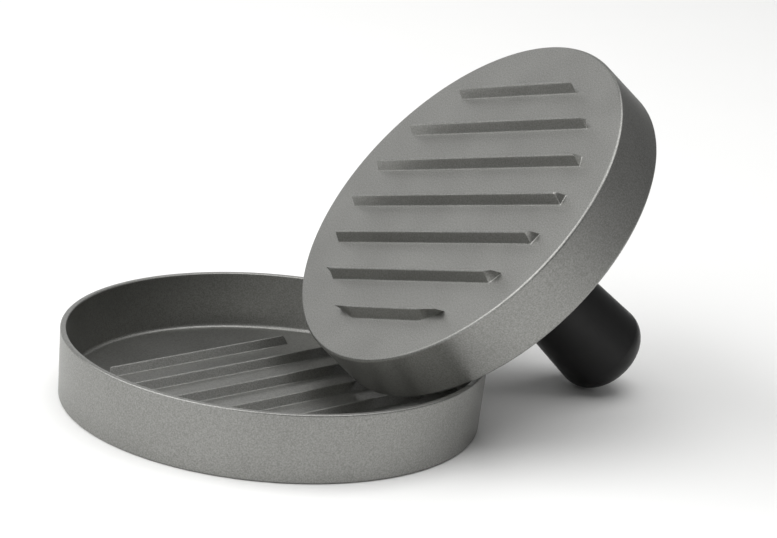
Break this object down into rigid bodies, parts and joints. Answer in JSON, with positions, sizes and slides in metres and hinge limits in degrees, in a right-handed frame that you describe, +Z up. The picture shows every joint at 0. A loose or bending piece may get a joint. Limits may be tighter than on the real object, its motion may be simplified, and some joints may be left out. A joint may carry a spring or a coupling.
{
  "type": "patty press",
  "caption": "Two-part burger press: a round ribbed dish and a ribbed press plate with a screwed-on grip, leaning on the dish's rim",
  "frame": {"origin": "centre of the dish's flat underside, on the table", "axes": "+Z up, +X the way the plunger leans, so its axis lies in the XZ plane"},
  "size_m": [0.1835, 0.125, 0.1055],
  "materials": {
    "cast_aluminium": "die cast, grey metallic coating, satin",
    "black_plastic": "moulded, satin black",
    "brass": "turned",
    "zinc_plated_steel": "zinc plated",
    "stainless_steel": "stamped, bright"
  },
  "bodies": {
    "dish": {"dish": "cast_aluminium"},
    "handle": {"grip": "black_plastic", "grip_insert": "brass"},
    "washer": {"washer": "stainless_steel"},
    "plate": {"press_plate": "cast_aluminium", "stud": "zinc_plated_steel"}
  },
  "joints": [
    {"name": "plunger_lift", "type": "slide", "parent": "dish", "child": "handle", "axis": [0, 0, 1], "range_m": [0, 0.12]},
    {"name": "plate_turn", "type": "hinge", "parent": "handle", "child": "washer", "pos_m": [0.0542, 0, 0.0616], "axis": [-0.7466, 0, 0.6652], "range_deg": [0, 4680]},
    {"name": "plate_advance", "type": "slide", "parent": "washer", "child": "plate", "axis": [-0.7466, 0, 0.6652], "range_m": [0, 0.013]}
  ],
  "couplings": [
    {"joint": "plate_advance", "follows": "plate_turn", "m_per_rad": 0.00015915}
  ]
}
